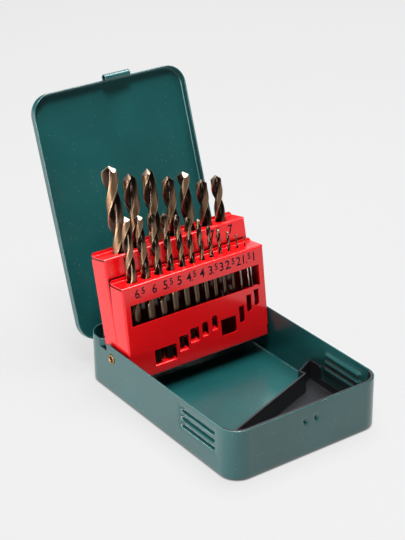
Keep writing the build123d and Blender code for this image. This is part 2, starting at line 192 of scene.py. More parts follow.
def enamel(name, colour, shade, speck, roughness, peel_depth, specular, gloss, painted_shade=None):
    """A sprayed film: slow colour drift, orange peel and baked-in specks.

    `gloss` is the roughness and the refractive index of the film's outermost skin.
    `painted_shade` is a function that gives how much painted shade a place gets, and the dark colour
    painted there.
    """
    finish, tree = new_finish(name)
    place = add_node(tree, "ShaderNodeTexCoord").outputs["Object"]
    drift = add_node(
        tree, "ShaderNodeTexNoise", {"Vector": place, "Scale": per_metre(DRIFT_SPACING), "Detail": 3.0},
    )
    body = add_node(
        tree, "ShaderNodeMix",
        {0: drift.outputs[0], 6: linear(shade), 7: linear(colour)}, data_type="RGBA",
    )
    cells = add_node(
        tree, "ShaderNodeTexVoronoi", {"Vector": place, "Scale": per_metre(SPECK_SPACING)},
    )
    near = add_node(
        tree, "ShaderNodeMath",
        {0: cells.outputs["Distance"], 1: SPECK_SIZE / 2 / SPECK_SPACING}, operation="LESS_THAN",
    )
    film = add_node(
        tree, "ShaderNodeMix",
        {0: near.outputs[0], 6: body.outputs[2], 7: linear(speck)}, data_type="RGBA",
    )
    # Painted shade: where the function says, the colour is darkened towards its dark colour.
    if painted_shade:
        share, bare_steel_and_painted_shade = painted_shade(tree, place)
        film = add_node(
            tree, "ShaderNodeMix",
            {0: share, 6: film.outputs[2], 7: linear(bare_steel_and_painted_shade)}, data_type="RGBA",
        )
    peel = add_node(
        tree, "ShaderNodeTexNoise", {"Vector": place, "Scale": per_metre(PEEL_SPACING), "Detail": 1.0},
    )
    bump = add_node(
        tree, "ShaderNodeBump", {"Height": peel.outputs[0], "Distance": peel_depth * MM, "Strength": 0.5},
    )
    shader = add_node(
        tree, "ShaderNodeBsdfPrincipled",
        {
            "Base Color": film.outputs[2], "Roughness": roughness, "IOR": FILM_IOR,
            "Specular IOR Level": specular, "Normal": bump.outputs[0],
            "Coat Weight": 1.0, "Coat Roughness": gloss[0], "Coat IOR": gloss[1],
        },
    )
    add_node(tree, "ShaderNodeOutputMaterial", {"Surface": shader.outputs[0]})
    return finish


green_enamel = enamel("green enamel on steel", "#175B5A", "#0D4042", "#6E9A98", 0.4, 0.02, 0.4, (0.22, 1.6))
print("made", green_enamel.name)

# %% [markdown]
# ## Powder coat on the racks
#
# The racks are folded from sheet and powder coated red. Powder melts into a thicker,
# glossier film than sprayed enamel, so it uses the same network with a shallower peel and a
# stronger gloss. Deep inside the racks, where little light reaches, the red is darkened
# towards a dark red: painted shade. A strip behind the front rack's lip gets a painted
# shadow too. Three distances say how deep inside the racks a place lies. They are measured
# from the racks' pivot, along and across the leaning front rack.

# %% Red powder coat
PIVOT_Y, PIVOT_Z = 48.1, 24.4
FRONT_LEAN = 7.33
RACK_FACE, RACK_TOP, RACK_SIDE = -18.44, 50.16, 52.8
FACE_FADE = (3.0, 10.0)  # the painted shade deepens between these distances from the skin
TOP_FADE = (-0.2, -0.8)
SIDE_FADE = (-0.3, -1.0)
GAP_FRONT, GAP_RISE = -3.5, 2.6  # painted shadow strip behind the front rack's lip, higher than the lip
PAINTED_SHADE_RED = "#5A0A0F"


def painted_shade_inside_racks(tree, place):
    """The share of painted shade at a place, and the dark red painted there.

    The share is 0 on the skin and 1 deep behind the face, below the top and in from the sides,
    where little light reaches. Behind the front rack's lip the top is taken higher, so the gap
    there gets a painted shadow strip.
    """
    upright = add_node(
        tree, "ShaderNodeMapping",
        {
            "Vector": place, "Location": (0, PIVOT_Y * MM, PIVOT_Z * MM),
            "Rotation": (-math.radians(FRONT_LEAN), 0, 0),
        },
        vector_type="TEXTURE",
    )
    parts = add_node(tree, "ShaderNodeSeparateXYZ", {0: upright.outputs[0]})
    across = add_node(tree, "ShaderNodeMath", {0: parts.outputs[0]}, operation="ABSOLUTE")
    gap = add_node(
        tree, "ShaderNodeMath", {0: parts.outputs[1], 1: GAP_FRONT * MM}, operation="GREATER_THAN",
    )
    level = add_node(
        tree, "ShaderNodeMath",
        {0: gap.outputs[0], 1: -GAP_RISE * MM, 2: parts.outputs[2]}, operation="MULTIPLY_ADD",
    )
    depths = (
        (parts.outputs[1], RACK_FACE, FACE_FADE),
        (level.outputs[0], RACK_TOP, TOP_FADE),
        (across.outputs[0], RACK_SIDE, SIDE_FADE),
    )
    share = 1.0
    for distance, skin, (start, end) in depths:
        ramp = add_node(
            tree, "ShaderNodeMapRange",
            {"Value": distance, "From Min": (skin + start) * MM, "From Max": (skin + end) * MM},
        )
        product = add_node(tree, "ShaderNodeMath", {0: ramp.outputs[0], 1: share}, operation="MULTIPLY")
        share = product.outputs[0]
    return share, PAINTED_SHADE_RED


# The red gets painted shade deep inside the racks and a painted shadow strip behind the front rack's lip.
red_powder = enamel(
    "red powder coat", "#DC151B", "#CE1218", "#DE5C60", 0.3, 0.015, 0.1, (0.14, 1.65), painted_shade_inside_racks,
)
print("made", red_powder.name)

# %% [markdown]
# ## Drill bit steel
#
# Cobalt high speed steel is tempered after grinding, which leaves a straw to bronze oxide
# on the lands and a darker brown in the flutes. The narrow margin along each land is rubbed
# paler, the shank is turned smooth and browner, and a point ground afresh is bright. On the
# two smallest bits a highlight is painted along the shank. An image could be wrapped round
# each bit, but it would slip against the twist. Here the surface carries these facts as
# attributes, so the colour follows the flutes exactly.

# %% Bronze oxide on drill steel
BIT_ATTRIBUTES = ("flute", "ground", "margin", "shank", "bright_steel")
STREAK_SPACING, STREAK_DEPTH = 0.7, 0.012
LAND_ROUGHNESS = 0.38
FLUTE_CHANGE, SHANK_CHANGE, GROUND_CHANGE = -0.14, -0.1, 0.18  # added to the land's roughness


def drill_steel(name):
    """Metal whose colour and roughness follow the five attributes of a bit's surface."""
    finish, tree = new_finish(name)
    place = add_node(tree, "ShaderNodeTexCoord").outputs["Object"]
    flute, ground, margin, shank, bright_steel = (
        add_node(tree, "ShaderNodeAttribute", attribute_name=attribute).outputs["Fac"]
        for attribute in BIT_ATTRIBUTES
    )
    streaks = add_node(
        tree, "ShaderNodeTexNoise",
        {"Vector": place, "Scale": per_metre(STREAK_SPACING), "Detail": 2.0},
    )
    land = add_node(
        tree, "ShaderNodeMix",
        {0: streaks.outputs[0], 6: linear("#705643"), 7: linear("#AE9173")}, data_type="RGBA",
    )
    rubbed = add_node(
        tree, "ShaderNodeMix",
        {0: margin, 6: land.outputs[2], 7: linear("#C8AE91")}, data_type="RGBA",
    )
    oxide = add_node(
        tree, "ShaderNodeMix",
        {0: flute, 6: rubbed.outputs[2], 7: linear("#54453D")}, data_type="RGBA",
    )
    # Where bright_steel is set the colour turns bright: a freshly ground point, and on the smallest bits a
    # painted highlight along the shank.
    point = add_node(
        tree, "ShaderNodeMix",
        {0: bright_steel, 6: linear("#6E5C4C"), 7: linear("#E8E0D6")}, data_type="RGBA",
    )
    bare_steel_and_painted_shade = add_node(tree, "ShaderNodeMath", {0: ground, 1: shank}, operation="MAXIMUM")
    colour = add_node(
        tree, "ShaderNodeMix",
        {0: bare_steel_and_painted_shade.outputs[0], 6: oxide.outputs[2], 7: point.outputs[2]}, data_type="RGBA",
    )
    bump = add_node(
        tree, "ShaderNodeBump",
        {"Height": streaks.outputs[0], "Distance": STREAK_DEPTH * MM, "Strength": 0.4},
    )
    rough = LAND_ROUGHNESS
    for part, change in ((flute, FLUTE_CHANGE), (shank, SHANK_CHANGE), (ground, GROUND_CHANGE)):
        changed = add_node(tree, "ShaderNodeMath", {0: part, 1: change, 2: rough}, operation="MULTIPLY_ADD")
        rough = changed.outputs[0]
    shader = add_node(
        tree, "ShaderNodeBsdfPrincipled",
        {"Base Color": colour.outputs[2], "Metallic": 1.0, "Roughness": rough, "Normal": bump.outputs[0]},
    )
    add_node(tree, "ShaderNodeOutputMaterial", {"Surface": shader.outputs[0]})
    return finish


bit_steel = drill_steel("cobalt drill steel, tempered")
print("made", bit_steel.name)

# %% [markdown]
# ## Small metal parts and plastic
#
# The rivets are stamped brass, the hinge pins and washers are plain zinc-plated wire and
# sheet, and the tip guard is moulded black polypropylene with a fine spark-eroded grain.
# The numbers are a thin matt film of ink, which mirrors far less than the coat around them.
# Noise at the size of the real marks gives each of the four its grain.

# %% Brass, plated steel, moulded plastic and ink


def grained(name, colour, shade, spacing, depth, roughness, metallic=0.0, specular=0.5):
    """A surface with one grain: noise of that spacing mixes two colours and raises the bumps."""
    finish, tree = new_finish(name)
    place = add_node(tree, "ShaderNodeTexCoord").outputs["Object"]
    grain = add_node(
        tree, "ShaderNodeTexNoise",
        {"Vector": place, "Scale": per_metre(spacing), "Detail": 3.0},
    )
    colours = add_node(
        tree, "ShaderNodeMix",
        {0: grain.outputs[0], 6: linear(shade), 7: linear(colour)}, data_type="RGBA",
    )
    bump = add_node(
        tree, "ShaderNodeBump", {"Height": grain.outputs[0], "Distance": depth * MM, "Strength": 0.6},
    )
    shader = add_node(
        tree, "ShaderNodeBsdfPrincipled",
        {
            "Base Color": colours.outputs[2], "Metallic": metallic, "Roughness": roughness,
            "Specular IOR Level": specular, "Normal": bump.outputs[0],
        },
    )
    add_node(tree, "ShaderNodeOutputMaterial", {"Surface": shader.outputs[0]})
    return finish


brass = grained("stamped brass", "#B3946A", "#86693F", 0.8, 0.01, 0.42, metallic=1.0)
plated_steel = grained("zinc plated steel", "#C9C9C4", "#A9AAA8", 0.6, 0.01, 0.35, metallic=1.0)
black_plastic = grained("moulded black polypropylene", "#303134", "#1D1E20", 0.45, 0.04, 0.36)
number_ink = grained("printed blue-black ink", "#221B29", "#18131F", 0.3, 0.004, 0.5, specular=0.15)
print("made", brass.name, plated_steel.name, black_plastic.name, number_ink.name)

# %% [markdown]
# ## Surfaces from numbers
#
# The pans and the bits are grids of points worked out with numpy. One function turns such
# a grid into a mesh: rows run along the piece, columns run round it, and a flat face closes
# each end.

# %% Mesh helper
SHARP = math.radians(32)  # an edge that turns by more than this stays sharp


def surface(name, grid, finish, body, stands_for=(), attributes=None):
    """A mesh over a (rows, columns, 3) grid in mm. Columns wrap round and flat faces close both ends.

    Point (r, c) joins its neighbours (r, c+1), (r+1, c+1) and (r+1, c). Columns that run
    anticlockwise seen from the last row give faces that point outward.
    """
    rows, columns, _ = grid.shape
    row = np.arange(rows - 1)[:, None] * columns
    column = np.arange(columns)[None, :]
    following = (column + 1) % columns
    square = [row + column, row + following, row + columns + following, row + columns + column]
    quads = np.stack(square, -1).reshape(-1, 4).tolist()
    first = list(range(columns))[::-1]
    last = list(range((rows - 1) * columns, rows * columns))
    mesh = bpy.data.meshes.new(name)
    mesh.from_pydata(grid.reshape(-1, 3) * MM, [], quads + [first, last])
    for attribute, values in (attributes or {}).items():
        layer = mesh.attributes.new(attribute, "FLOAT", "POINT")
        layer.data.foreach_set("value", values.ravel().astype(np.float32))
    return place_piece(name, mesh, finish, body, stands_for)


def place_piece(name, mesh, finish, body, stands_for=()):
    """Shades a mesh smooth except at sharp edges, and puts it on its body."""
    mesh.materials.clear()
    mesh.materials.append(finish)
    mesh.shade_smooth()
    mesh.set_sharp_from_angle(angle=SHARP)
    piece = add_object(name, mesh)
    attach(piece, body)
    if stands_for:
        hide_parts(*stands_for)
    return piece


# %% [markdown]
# ## The drawn pan
#
# The base and the lid are both pans drawn from sheet, with round corners. A pan is one
# profile carried round a rounded rectangle. The profile is a list of (inset, height)
# points: how far inside the outer wall, and how high. It starts in the middle of one side
# of the floor, runs over the wall's edge and ends in the middle of the other side, so the
# sheet gets its real thickness.

# %% Pan path and profile
SHEET = 0.8
CORNER_STEPS = 15


def rounded_ring(half_x, half_y, radius, side_y, side_x):
    """Core points and outward normals round a rectangle with round corners.

    A point at an inset t lies at core + (radius - t) * normal. On a side the core slides
    along the inner rectangle; at a corner it stays and the normal turns by 90 degrees.
    """
    reach_x, reach_y = half_x - radius, half_y - radius
    up = side_y[np.abs(side_y) < reach_y - 0.2]
    right = side_x[np.abs(side_x) < reach_x - 0.2]
    sides = (
        (np.stack([np.full(len(up), reach_x), up], 1), (reach_x, reach_y)),
        (np.stack([right[::-1], np.full(len(right), reach_y)], 1), (-reach_x, reach_y)),
        (np.stack([np.full(len(up), -reach_x), up[::-1]], 1), (-reach_x, -reach_y)),
        (np.stack([right, np.full(len(right), -reach_y)], 1), (reach_x, -reach_y)),
    )
    turn = np.radians(np.linspace(0, 90, CORNER_STEPS))
    cores, angles = [], []
    for quarter, (side, corner) in enumerate(sides):
        start = quarter * math.pi / 2
        cores += [side, np.tile(corner, (CORNER_STEPS, 1))]
        angles += [np.full(len(side), start), start + turn]
    angle = np.concatenate(angles)
    return np.concatenate(cores), np.stack([np.cos(angle), np.sin(angle)], 1)


def arc(middle, radius, start, end, steps=7):
    """Points on a circle from one angle to another, in degrees."""
    angle = np.radians(np.linspace(start, end, steps))
    return np.stack([middle[0] + radius * np.cos(angle), middle[1] + radius * np.sin(angle)], 1)


def pan(profile, ring, radius):
    """Carries (inset, height) points round a ring: core + (radius - inset) * normal, at height."""
    core, normal = ring
    inset, height = profile[:, 0, None, None], profile[:, 1, None, None]
    plan = core[None] + (radius - inset) * normal[None]
    return np.concatenate([plan, np.broadcast_to(height, (*plan.shape[:2], 1))], -1)


# %% [markdown]
# ## The base tray
#
# The base is drawn from one sheet: floor, four walls and round corners. Three finger
# grooves are pressed into each side wall near the front, inside a shallow pressed panel.
# Two small staking dimples in the front wall hold the tip guard, and the blow that made
# them left a wide shallow dish round each. Pressing moves the sheet without changing its
# thickness, so one inward push is worked out for both faces of the wall.

# %% Base sizes
WIDTH, DEPTH, HEIGHT = 110.0, 156.0, 33.0
CORNER = 12.0  # radius of the upright corners, outside
FLOOR_BEND = 2.0  # radius between floor and wall, outside
GROOVE_LENGTH, GROOVE_DEPTH, GROOVE_REACH = 33.5, 1.7, 2.15
GROOVE_HEIGHTS = (15.4, 20.5, 25.6)
GROOVE_Y = 34.5 - DEPTH / 2  # their middle, 34.5 mm behind the front wall
GROOVE_ENDS = (0.85, 0.65)  # below 1, so that the front and back ends are drawn out
GROOVE_FLAT = 1.15  # above 1, so that a groove has a flat floor
PANEL_HALF = (20.0, 10.0)
PANEL_DEPTH, PANEL_EDGE = 0.35, 3.2
DIMPLES = ((-2.6, 23.0), (5.3, 23.0))
DIMPLE_DEPTH, DIMPLE_SPREAD = 1.2, 1.3
DISH_DEPTH, DISH_SPREAD = 0.5, 2.5


def smooth(t):
    """0 below 0, 1 above 1, and 3t^2 - 2t^3 between."""
    t = np.clip(t, 0, 1)
    return t * t * (3 - 2 * t)


def side_press(y, z):
    """Inward push on a side wall: a shallow panel, and grooves round three level lines.

    A groove's push is its depth times smooth(flat (1 - a / reach)), with a the distance from
    its line. Beyond the line's ends the distance along it counts for less than its full
    length, and least of all at the back.
    """
    edge_y = (PANEL_HALF[0] - np.abs(y - GROOVE_Y)) / PANEL_EDGE
    edge_z = (PANEL_HALF[1] - np.abs(z - GROOVE_HEIGHTS[1])) / PANEL_EDGE
    push = PANEL_DEPTH * smooth(edge_y) * smooth(edge_z)
    straight = GROOVE_LENGTH / 2 - GROOVE_REACH
    front_end, back_end = GROOVE_ENDS
    drawn_out = np.where(y > GROOVE_Y, back_end, front_end)
    beyond = np.maximum(np.abs(y - GROOVE_Y) - straight, 0) * drawn_out
    for level in GROOVE_HEIGHTS:
        away = np.hypot(beyond, z - level)
        push = push + GROOVE_DEPTH * smooth(GROOVE_FLAT * (1 - away / GROOVE_REACH))
    return push


def front_press(x, z):
    """Inward push on the front wall: two dimples, each a narrow bell curve in a wide one.

    A bell curve pushes by depth * exp(-(a / spread)^2), with a the distance from its middle.
    """
    push = np.zeros_like(x)
    for middle_x, middle_z in DIMPLES:
        away = np.hypot(x - middle_x, z - middle_z)
        for depth, spread in ((DIMPLE_DEPTH, DIMPLE_SPREAD), (DISH_DEPTH, DISH_SPREAD)):
            push = push + depth * np.exp(-(away / spread) ** 2)
    return push


# %% Base pan
def base_grid():
    """The tray's point grid, with the pressed shapes pushed into its walls.

    Points lie close together only where something is pressed: beside the grooves up a wall
    and along it, and beside the dimples across the front.
    """
    wall = np.concatenate([np.arange(3.0, 9.0, 2.0), np.arange(9.5, 31.5, 0.36), [32.4]])
    rim = HEIGHT - SHEET / 2
    profile = np.concatenate([
        [(CORNER - 1, 0), (FLOOR_BEND + 1, 0)],
        arc((FLOOR_BEND, FLOOR_BEND), FLOOR_BEND, 270, 180),
        np.stack([np.zeros_like(wall), wall], 1),
        arc((SHEET / 2, rim), SHEET / 2, 180, 0),
        np.stack([np.full_like(wall, SHEET), wall[::-1]], 1),
        arc((FLOOR_BEND, FLOOR_BEND), FLOOR_BEND - SHEET, 180, 270),
        [(FLOOR_BEND + 1, SHEET), (CORNER - 1, SHEET)],
    ])
    side_y = np.concatenate([np.arange(-65.5, -21, 0.5), np.arange(-15, 66, 8.0)])
    side_x = np.unique(np.concatenate([np.arange(-42.0, 43, 7.0), np.arange(-6.2, 9, 0.12)]))
    ring = rounded_ring(WIDTH / 2, DEPTH / 2, CORNER, side_y, side_x)
    grid = pan(profile, ring, CORNER)
    normal = ring[1][None]
    on_wall = (profile[:, 1, None] > FLOOR_BEND) & (profile[:, 0, None] <= SHEET)
    push = side_press(grid[..., 1], grid[..., 2]) * (np.abs(normal[..., 0]) > 0.999)
    push = push + front_press(grid[..., 0], grid[..., 2]) * (normal[..., 1] < -0.999)
    grid[..., :2] -= (push * on_wall)[..., None] * normal
    return grid


base_piece = surface("base_pan", base_grid(), green_enamel, "base", ["base_tray"])
print("base pan:", len(base_piece.data.polygons), "faces")

# %% [markdown]
# ## Openings in the base
#
# Punched openings have sharp edges, so they are cut with plain solids and a Boolean. The
# cutters share one mesh, and the result takes the place of the piece's own mesh.

# %% Cut the openings
EYELET_HOLE = 2.08  # radius
HINGE_X, HINGE_Y, HINGE_Z = 30.0, DEPTH / 2 - 1.2, HEIGHT - 8.5
HINGE_WINDOW = (13.0, HINGE_Z - 3.3, HEIGHT - 2.0)  # half width, low and high edge
STOP_FRONT_Y, STOP_BEND_Y, STOP_LOW = PIVOT_Y + 5.4, PIVOT_Y + 13.8, HEIGHT - 5.3


def loop_solid(outline, start, end, axis):
    """Points and faces of a prism: a 2-D outline carried along X, or along Z."""
    count = len(outline)
    ends = [np.full((count, 1), start), np.full((count, 1), end)]
    if axis == "X":
        rings = [np.hstack([along, outline]) for along in ends]
    else:
        rings = [np.hstack([outline, along]) for along in ends]
    index = np.arange(count)
    after = (index + 1) % count
    sides = np.stack([index, after, after + count, index + count], 1).tolist()
    caps = [index[::-1].tolist(), (index + count).tolist()]
    return np.concatenate(rings), sides + caps


def rectangle(low, high):
    """Four corners of a rectangle, anticlockwise."""
    return np.array([low, (high[0], low[1]), high, (low[0], high[1])], float)


def joined(solids):
    """One mesh from several (points, faces) solids."""
    points, faces, offset = [], [], 0
    for corners, polygons in solids:
        points.append(corners)
        faces += [[i + offset for i in polygon] for polygon in polygons]
        offset += len(corners)
    mesh = bpy.data.meshes.new("solids")
    mesh.from_pydata(np.concatenate(points) * MM, [], faces)
    return mesh


def worked_out(thing):
    """The mesh that an object's modifiers, or its curve, work out to."""
    graph = bpy.context.evaluated_depsgraph_get()
    return bpy.data.meshes.new_from_object(thing.evaluated_get(graph))


def cut(piece, solids):
    """Cuts solids out of a piece for good, with a Boolean on a scratch object."""
    cutter = add_object("cutter", joined(solids))
    boolean = piece.modifiers.new("openings", "BOOLEAN")
    boolean.operation = "DIFFERENCE"
    boolean.solver = "EXACT"
    boolean.object = cutter
    made = worked_out(piece)
    piece.modifiers.clear()
    piece.data = made
    bpy.data.objects.remove(cutter)
    made.set_sharp_from_angle(angle=SHARP)


def base_openings():
    """Pivot holes, stop notches and hinge windows, each longer than the wall is thick."""
    hole = arc((PIVOT_Y, PIVOT_Z), EYELET_HOLE, 0, 337.5, 16)
    notch = rectangle((STOP_FRONT_Y, STOP_LOW), (STOP_BEND_Y, HEIGHT + 1))
    solids = []
    for side in (-1, 1):
        ends = sorted((side * (WIDTH / 2 - 3), side * (WIDTH / 2 + 1)))
        solids += [loop_solid(hole, *ends, "X"), loop_solid(notch, *ends, "X")]
        half, low, high = HINGE_WINDOW
        window = rectangle((DEPTH / 2 - SHEET - 1, low), (DEPTH / 2 + 1, high))
        solids.append(loop_solid(window, side * HINGE_X - half, side * HINGE_X + half, "X"))
    return solids


cut(base_piece, base_openings())
print("base pan after cutting:", len(base_piece.data.polygons), "faces")

# %% [markdown]
# ## Bent strips: stop tabs, hinge knuckles and finger lug
#
# Every bent strip is a line drawn along the middle of the sheet. Offsetting it half a
# sheet to each side gives the outline, and carrying the outline along the bend gives the
# strip. Stop tabs turn inward at the notches, knuckles roll round the hinge pins, and the
# finger lug rolls outward at the front of the lid.

# %% Bent strip
EDGE_RADIUS = 0.12


def strip_outline(line):
    """Outline of a strip: the line moved half a sheet to each side, along its normals."""
    along = np.gradient(line, axis=0)
    along /= np.linalg.norm(along, axis=1, keepdims=True)
    across = np.stack([-along[:, 1], along[:, 0]], 1) * SHEET / 2
    return np.concatenate([line - across, (line + across)[::-1]])


def turned(points, middle, degrees):
    """Turns (y, z) points about a middle, from Y towards -Z for positive degrees."""
    angle = math.radians(degrees)
    moved = points - middle
    y = moved[:, 0] * math.cos(angle) + moved[:, 1] * math.sin(angle)
    z = -moved[:, 0] * math.sin(angle) + moved[:, 1] * math.cos(angle)
    return np.stack([y, z], 1) + middle


def swung(points, middle, degrees):
    """The same for (x, y, z) points: what stands upright leans back for positive degrees."""
    flat = points.reshape(-1, 3)
    return np.column_stack([flat[:, 0], turned(flat[:, 1:], middle, degrees)]).reshape(points.shape)


def strips(name, solids, body, node):
    """One green piece from several strips, with its cut edges rounded."""
    piece = place_piece(name, joined(solids), green_enamel, body, [node])
    round_edges(piece, EDGE_RADIUS)


def round_edges(piece, width):
    """Rounds sharp edges by a small radius, in mm."""
    bevel = piece.modifiers.new("rounded edges", "BEVEL")
    bevel.width = width * MM
    bevel.segments = 2
    bevel.limit_method = "ANGLE"
    bevel.angle_limit = SHARP


# %% Stop tabs and base knuckles
STOP_LENGTH = 4.7
STOP_BEND, STOP_STRAIGHT = 1.4, 0.72  # bend radius, and share of the length beyond the bend
PIN_RADIUS, PIN_PLAY = 1.0, 0.06
LEAF, KNUCKLE, KNUCKLE_PLAY = 12.0, 6.0, 0.4
ROLL = PIN_RADIUS + PIN_PLAY + SHEET / 2  # radius of a knuckle's middle line
KNUCKLE_FOOT = ((ROLL - 0.05, -4.2), (ROLL, -1.5))  # from the pin: where the strip rises to it


def stop_tab(side):
    """A tab that leaves the wall at the notch and turns 45 degrees inward."""
    wall = WIDTH / 2 - SHEET / 2
    reach = STOP_LENGTH / math.sqrt(2)
    bend = arc((wall - STOP_BEND, STOP_BEND_Y + 0.5), STOP_BEND, 0, -45)
    end = bend[-1] + np.array([-reach, -reach]) * STOP_STRAIGHT
    line = np.concatenate([[(wall, STOP_BEND_Y + 2)], bend, [end]])
    outline = strip_outline(line) * (side, 1)
    return loop_solid(outline if side < 0 else outline[::-1], STOP_LOW, HEIGHT - 0.05, "Z")


def base_knuckle(left):
    """A strip that rises in the hinge window and rolls once round the pin."""
    roll = arc((HINGE_Y, HINGE_Z), ROLL, 0, 330, 24)
    foot = [(HINGE_Y + out, HINGE_Z + up) for out, up in KNUCKLE_FOOT]
    return loop_solid(strip_outline(np.concatenate([foot, roll]))[::-1], left, left + KNUCKLE, "X")


base_strips = [stop_tab(-1), stop_tab(1)]
for hinge in (-HINGE_X, HINGE_X):
    for left in (hinge - LEAF / 2 - KNUCKLE_PLAY - KNUCKLE, hinge + LEAF / 2 + KNUCKLE_PLAY):
        base_strips.append(base_knuckle(left))
strips("base_tabs_and_knuckles", base_strips, "base", "base_tray")
print("base strips:", len(base_strips))

# %% [markdown]
# ## The lid
#
# The lid is a shallow pan that fits over the base. It is easiest to work out closed, where
# its sizes follow the base, and then turn about the hinge line to where it stands open.

# %% Lid pan, lug and hinge leaves
LID_OPEN = 107.9
LID_PLAY = (0.5, 0.3)  # gap between base and lid at the sides, and at front and back
LID_TOP, LID_DEPTH, LID_BEND = HEIGHT + 1.2, 5.8, 1.6
LUG_ENDS, LUG_RADIUS, LUG_DROP = (-4.5, 14.0), 2.4, 8.0
LUG_GAP, LUG_ROLL = 0.15, 318  # gap to the base, and how far round the strip rolls, in degrees
HINGE = np.array([HINGE_Y, HINGE_Z])


def lid_grid():
    """The closed lid's grid: inner top, inner bend, flange, rounded edge, outer bend, outer top."""
    radius = CORNER + LID_PLAY[1] + SHEET
    low = LID_TOP - LID_DEPTH + SHEET / 2
    bend = (LID_BEND, LID_TOP - LID_BEND)
    profile = np.concatenate([
        [(radius - 1, LID_TOP - SHEET), (LID_BEND + 1, LID_TOP - SHEET)],
        arc(bend, LID_BEND - SHEET, 90, 180),
        [(SHEET, LID_TOP - 3), (SHEET, low + 0.2)],
        arc((SHEET / 2, low), SHEET / 2, 360, 180),
        [(0, low + 0.2), (0, LID_TOP - 3)],
        arc(bend, LID_BEND, 180, 90),
        [(LID_BEND + 1, LID_TOP), (radius - 1, LID_TOP)],
    ])
    side_y, side_x = np.arange(-64.0, 65, 4.0), np.arange(-42.0, 43, 4.0)
    half_x, half_y = WIDTH / 2 + LID_PLAY[0] + SHEET, DEPTH / 2 + LID_PLAY[1] + SHEET
    return pan(profile, rounded_ring(half_x, half_y, radius, side_y, side_x), radius)


def finger_lug():
    """A strip that leaves the front flange and rolls outward into a tube with a gap behind."""
    middle = np.array([-DEPTH / 2 - LUG_GAP - LUG_RADIUS, LID_TOP - LUG_DROP])
    flange = -DEPTH / 2 - LID_PLAY[1] - SHEET / 2
    roll = arc(middle, LUG_RADIUS - SHEET / 2, 0, -LUG_ROLL, 30)
    line = np.concatenate([[(flange, middle[1] + 4), (flange, middle[1] + 1.4)], roll])
    corners, faces = loop_solid(strip_outline(line), *LUG_ENDS, "X")
    return swung(corners, HINGE, LID_OPEN), faces


def lid_leaf(middle):
    """A strip that leaves the back flange and rolls once round the pin."""
    flange = DEPTH / 2 + LID_PLAY[1] + SHEET / 2
    roll = arc((HINGE_Y, HINGE_Z), ROLL, 20, -320, 24)
    line = np.concatenate([[(flange, LID_TOP - LID_DEPTH + 1), (flange, LID_TOP - LID_DEPTH)], roll])
    corners, faces = loop_solid(strip_outline(line), middle - LEAF / 2, middle + LEAF / 2, "X")
    return swung(corners, HINGE, LID_OPEN), faces


lid_points = swung(lid_grid(), HINGE, LID_OPEN)
lid_piece = surface("lid_pan", lid_points, green_enamel, "lid", ["lid_shell"])
strips("lid_finger_lug", [finger_lug()], "lid", "lid_shell")
strips("lid_hinge_leaves", [lid_leaf(-HINGE_X), lid_leaf(HINGE_X)], "lid", "lid_shell")
print("lid pan:", len(lid_piece.data.polygons), "faces")

# %% [markdown]
# ## The red racks and the tip guard
#
# The CAD already holds the folded racks with every window, shelf tab and hole, and the
# guard with its walls. Powder melts to a rounded edge and moulded plastic has no sharp one,
# so each gets a merged copy of its CAD mesh with a fine bevel. The guard's top edge is also
# raised to just under the rim. Where a rack's top plate meets its side flanges the fold
# doesn't close, so a narrow slit is cut under the plate.

# %% Merged copies with rounded edges
REAR_LEAN, REAR_FACE = 12.87, -6.85
PIVOT = np.array([PIVOT_Y, PIVOT_Z])
RACK_HALF = WIDTH / 2 - SHEET - 1.4
SLIT = (1.55, 0.85)  # low and high edge of the slit, below the top of the plate
GUARD_EDGE = 0.3
GUARD_TOP, GUARD_DROP = 0.7, 0.05  # points this near the rim rise to this far below it
RACKS = (
    # node, front face, back edge and top measured from the pivot, lean in degrees
    ("rear_rack", REAR_FACE, 8.3, 64.3, REAR_LEAN),
    ("front_rack", RACK_FACE, -4.54, RACK_TOP, FRONT_LEAN),
)


def fold_slits(face, back, top, lean):
    """Two thin solids that part a rack's side flanges from the underside of its top plate."""
    low, high = (top - below for below in SLIT)
    outline = turned(rectangle((face + 1.0, low), (back + 0.5, high)) + PIVOT, PIVOT, lean)
    ends = [sorted((side * (RACK_HALF - 2), side * (RACK_HALF + 1))) for side in (-1, 1)]
    return [loop_solid(outline, start, end, "X") for start, end in ends]


def mesh_points(mesh):
    """A mesh's points, in metres."""
    points = np.zeros(len(mesh.vertices) * 3)
    mesh.vertices.foreach_get("co", points)
    return points.reshape(-1, 3)


def rounded_copy(node, name, width, finish, body, lift=False, openings=()):
    """A piece from a CAD node: points merged, flat neighbours joined, sharp edges rounded.

    `lift` raises points that are near the rim to just under it, where the real edge shows.
    """
    work = bmesh.new()
    work.from_mesh(frame["nodes"][node].data)
    bmesh.ops.remove_doubles(work, verts=work.verts, dist=0.002 * MM)
    bmesh.ops.dissolve_limit(work, angle_limit=math.radians(0.5), verts=work.verts, edges=work.edges)
    mesh = bpy.data.meshes.new(name)
    work.to_mesh(mesh)
    work.free()
    if lift:
        points = mesh_points(mesh)
        near_rim = points[:, 2] > (HEIGHT - GUARD_TOP) * MM
        points[near_rim, 2] = (HEIGHT - GUARD_DROP) * MM
        mesh.vertices.foreach_set("co", points.ravel())
    if "custom_normal" in mesh.attributes:
        mesh.attributes.remove(mesh.attributes["custom_normal"])
    piece = place_piece(name, mesh, finish, body, [node])
    if openings:
        cut(piece, openings)
    round_edges(piece, width)
    return piece


for node, *place in RACKS:
    slits = fold_slits(*place)
    made = rounded_copy(
        node, node + "_coated", EDGE_RADIUS, red_powder, "racks", openings=slits,
    )
    print(made.name, len(made.data.polygons), "faces")
guard_piece = rounded_copy(
    "tip_guard", "tip_guard_moulded", GUARD_EDGE, black_plastic, "base", lift=True,
)
print(guard_piece.name, len(guard_piece.data.polygons), "faces")

